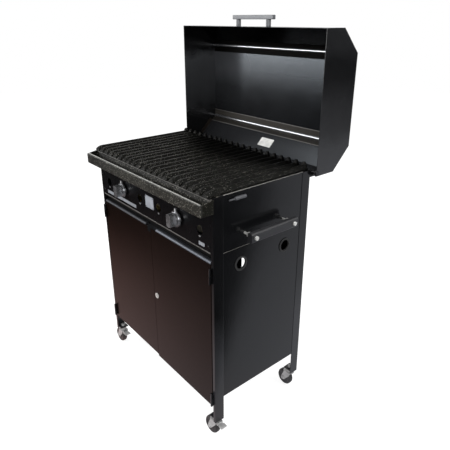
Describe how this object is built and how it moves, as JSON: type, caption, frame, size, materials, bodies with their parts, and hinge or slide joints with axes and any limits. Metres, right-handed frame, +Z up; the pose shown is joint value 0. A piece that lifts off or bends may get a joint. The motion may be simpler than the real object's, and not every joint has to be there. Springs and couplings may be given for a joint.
{
  "type": "charbroiler grill",
  "caption": "Charbroiler grill on a wheeled cabinet with a hinged hood, cast grates above a front grease trough, push-and-turn gas knobs, hinged doors with a cam lock and side handles.",
  "frame": {"origin": "middle of the whole outline, from the trough front to the back of the open hood, on the floor under the wheels", "axes": "+X to the grill's right as seen from the front, +Y from the front to the back, +Z up"},
  "size_m": [0.8346, 0.651, 1.407],
  "materials": {
    "post_paint": "satin black paint",
    "panel_paint": "satin black paint",
    "door_paint": "dark brown textured paint",
    "control_paint": "gloss black paint",
    "trough_enamel": "speckled vitreous enamel",
    "grate_iron": "speckled black enamel on cast iron",
    "firebox_steel": "dull black",
    "burner_steel": "plain steel",
    "tray_steel": "galvanised",
    "pipe_brass": "plain brass",
    "handle_black": "satin black",
    "zinc": "bright zinc plate",
    "chrome": "polished",
    "lid_enamel": "gloss black enamel",
    "strip_enamel": "dark brown enamel",
    "lid_steel": "bare steel",
    "knob_grey": "silver grey satin",
    "rubber": "matt",
    "tyre": "matt"
  },
  "bodies": {
    "frame": {"post_fl": "post_paint", "post_fr": "post_paint", "post_rl": "post_paint", "post_rr": "post_paint", "feet": "post_paint", "lid_brackets": "post_paint", "hinge_leaves": "post_paint", "side_upper_l": "panel_paint", "side_upper_r": "panel_paint", "side_lower_l": "panel_paint", "side_lower_r": "panel_paint", "rear_upper": "panel_paint", "rear_lower": "panel_paint", "shelf": "panel_paint", "grommets": "rubber", "control_panel": "control_paint", "trough": "trough_enamel", "firebox_front": "firebox_steel", "ledge_rear": "firebox_steel", "radiants": "firebox_steel", "firebox_rails": "firebox_steel", "grate_l": "grate_iron", "grate_c": "grate_iron", "grate_r": "grate_iron", "burner_l": "burner_steel", "burner_r": "burner_steel", "manifold": "pipe_brass", "tap_bodies": "pipe_brass", "drip_tray": "tray_steel", "side_handle_l": "handle_black", "side_handle_r": "handle_black", "handle_bolts": "zinc", "side_peg": "knob_grey"},
    "lid": {"lid_wrap": "lid_enamel", "lid_sides": "lid_enamel", "lid_strips": "strip_enamel", "lid_rails": "lid_steel", "lid_handle": "chrome", "lid_posts": "chrome", "lid_pins": "zinc"},
    "door_left": {"door_l": "door_paint", "knuckles_l": "post_paint"},
    "door_right": {"door_r": "door_paint", "knuckles_r": "post_paint", "lock_body": "chrome"},
    "lock": {"lock_cam": "zinc"},
    "tap_left": {"plug_l": "pipe_brass"},
    "tap_right": {"plug_r": "pipe_brass"},
    "knob_left": {"knob_l": "knob_grey"},
    "knob_right": {"knob_r": "knob_grey"},
    "caster_fl": {"fork_fl": "zinc"},
    "wheel_fl": {"wheel_fl": "tyre"},
    "caster_fr": {"fork_fr": "zinc"},
    "wheel_fr": {"wheel_fr": "tyre"},
    "caster_rl": {"fork_rl": "zinc"},
    "wheel_rl": {"wheel_rl": "tyre"},
    "caster_rr": {"fork_rr": "zinc"},
    "wheel_rr": {"wheel_rr": "tyre"},
    "brake_left": {"pedal_l": "handle_black"},
    "brake_right": {"pedal_r": "handle_black"}
  },
  "joints": [
    {"name": "hood_hinge", "type": "hinge", "parent": "frame", "child": "lid", "pos_m": [0, 0.1585, 0.908], "axis": [1, 0, 0], "range_deg": [0, 89.2]},
    {"name": "left_door_hinge", "type": "hinge", "parent": "frame", "child": "door_left", "pos_m": [-0.34665, -0.2831, 0.44], "axis": [0, 0, -1], "range_deg": [0, 110]},
    {"name": "right_door_hinge", "type": "hinge", "parent": "frame", "child": "door_right", "pos_m": [0.34665, -0.2831, 0.44], "axis": [0, 0, 1], "range_deg": [0, 110]},
    {"name": "lock_turn", "type": "hinge", "parent": "door_right", "child": "lock", "pos_m": [0.02, -0.2805, 0.434], "axis": [0, 1, 0], "range_deg": [0, 90]},
    {"name": "left_tap_turn", "type": "hinge", "parent": "frame", "child": "tap_left", "pos_m": [-0.177, -0.2705, 0.8], "axis": [0, -1, 0], "range_deg": [0, 210]},
    {"name": "left_knob_push", "type": "slide", "parent": "tap_left", "child": "knob_left", "axis": [0, 1, 0], "range_m": [0, 0.005], "stiffness_N_per_m": 600, "springref_m": -0.004},
    {"name": "right_tap_turn", "type": "hinge", "parent": "frame", "child": "tap_right", "pos_m": [0.177, -0.2705, 0.8], "axis": [0, -1, 0], "range_deg": [0, 210]},
    {"name": "right_knob_push", "type": "slide", "parent": "tap_right", "child": "knob_right", "axis": [0, 1, 0], "range_m": [0, 0.005], "stiffness_N_per_m": 600, "springref_m": -0.004},
    {"name": "swivel_fl", "type": "hinge", "parent": "frame", "child": "caster_fl", "pos_m": [-0.34, -0.2575, 0.08], "axis": [0, 0, 1], "continuous": true},
    {"name": "roll_fl", "type": "hinge", "parent": "caster_fl", "child": "wheel_fl", "pos_m": [-0.36, -0.2575, 0.0325], "axis": [0, 1, 0], "continuous": true},
    {"name": "swivel_fr", "type": "hinge", "parent": "frame", "child": "caster_fr", "pos_m": [0.34, -0.2575, 0.08], "axis": [0, 0, 1], "continuous": true},
    {"name": "roll_fr", "type": "hinge", "parent": "caster_fr", "child": "wheel_fr", "pos_m": [0.32, -0.2575, 0.0325], "axis": [0, 1, 0], "continuous": true},
    {"name": "swivel_rl", "type": "hinge", "parent": "frame", "child": "caster_rl", "pos_m": [-0.34, 0.1225, 0.08], "axis": [0, 0, 1], "continuous": true},
    {"name": "roll_rl", "type": "hinge", "parent": "caster_rl", "child": "wheel_rl", "pos_m": [-0.36, 0.1225, 0.0325], "axis": [0, 1, 0], "continuous": true},
    {"name": "swivel_rr", "type": "hinge", "parent": "frame", "child": "caster_rr", "pos_m": [0.34, 0.1225, 0.08], "axis": [0, 0, 1], "continuous": true},
    {"name": "roll_rr", "type": "hinge", "parent": "caster_rr", "child": "wheel_rr", "pos_m": [0.32, 0.1225, 0.0325], "axis": [0, 1, 0], "continuous": true},
    {"name": "left_brake", "type": "hinge", "parent": "caster_fl", "child": "brake_left", "pos_m": [-0.322, -0.2575, 0.0635], "axis": [0, 1, 0], "range_deg": [0, 15]},
    {"name": "right_brake", "type": "hinge", "parent": "caster_fr", "child": "brake_right", "pos_m": [0.358, -0.2575, 0.0635], "axis": [0, 1, 0], "range_deg": [0, 15]}
  ]
}
